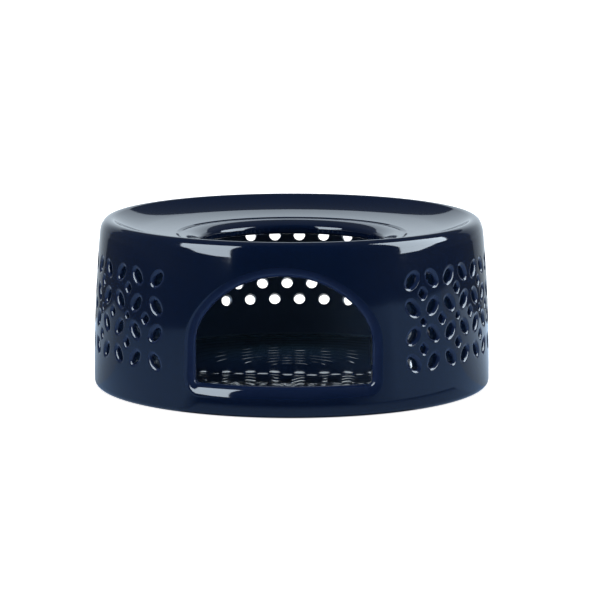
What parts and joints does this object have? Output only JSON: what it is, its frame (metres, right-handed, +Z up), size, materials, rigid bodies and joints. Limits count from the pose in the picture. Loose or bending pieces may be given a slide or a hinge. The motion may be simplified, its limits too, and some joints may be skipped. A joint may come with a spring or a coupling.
{
  "type": "teapot warmer",
  "caption": "Round glazed stoneware teapot warmer with an arched candle mouth, pierced side panels, back air holes, a dished top with a heat opening, and a tealight.",
  "frame": {"origin": "centre of the foot ring, on the table", "axes": "+Z up along the body's axis, -Y out of the arched mouth, +X towards the parked tealight"},
  "size_m": [0.14, 0.14, 0.0585],
  "materials": {
    "navy_glaze": "dark navy gloss glaze",
    "cup_sheet": "thin drawn sheet, satin",
    "wax": "white paraffin wax",
    "cotton": "waxed braided cotton",
    "tinplate": "tinned sheet"
  },
  "bodies": {
    "warmer": {"base_disc": "navy_glaze", "pierced_wall": "navy_glaze", "dish_plate": "navy_glaze", "rim_ring": "navy_glaze"},
    "tealight": {"tealight_cup": "cup_sheet"},
    "candle": {"tealight_wax": "wax", "tealight_wick": "cotton", "wick_sustainer": "tinplate"}
  },
  "joints": [
    {"name": "tealight_slide", "type": "slide", "parent": "warmer", "child": "tealight", "axis": [-1, 0, 0], "range_m": [0, 0.0462]},
    {"name": "candle_lift", "type": "slide", "parent": "tealight", "child": "candle", "axis": [0, 0, 1], "range_m": [0, 0.016]}
  ]
}
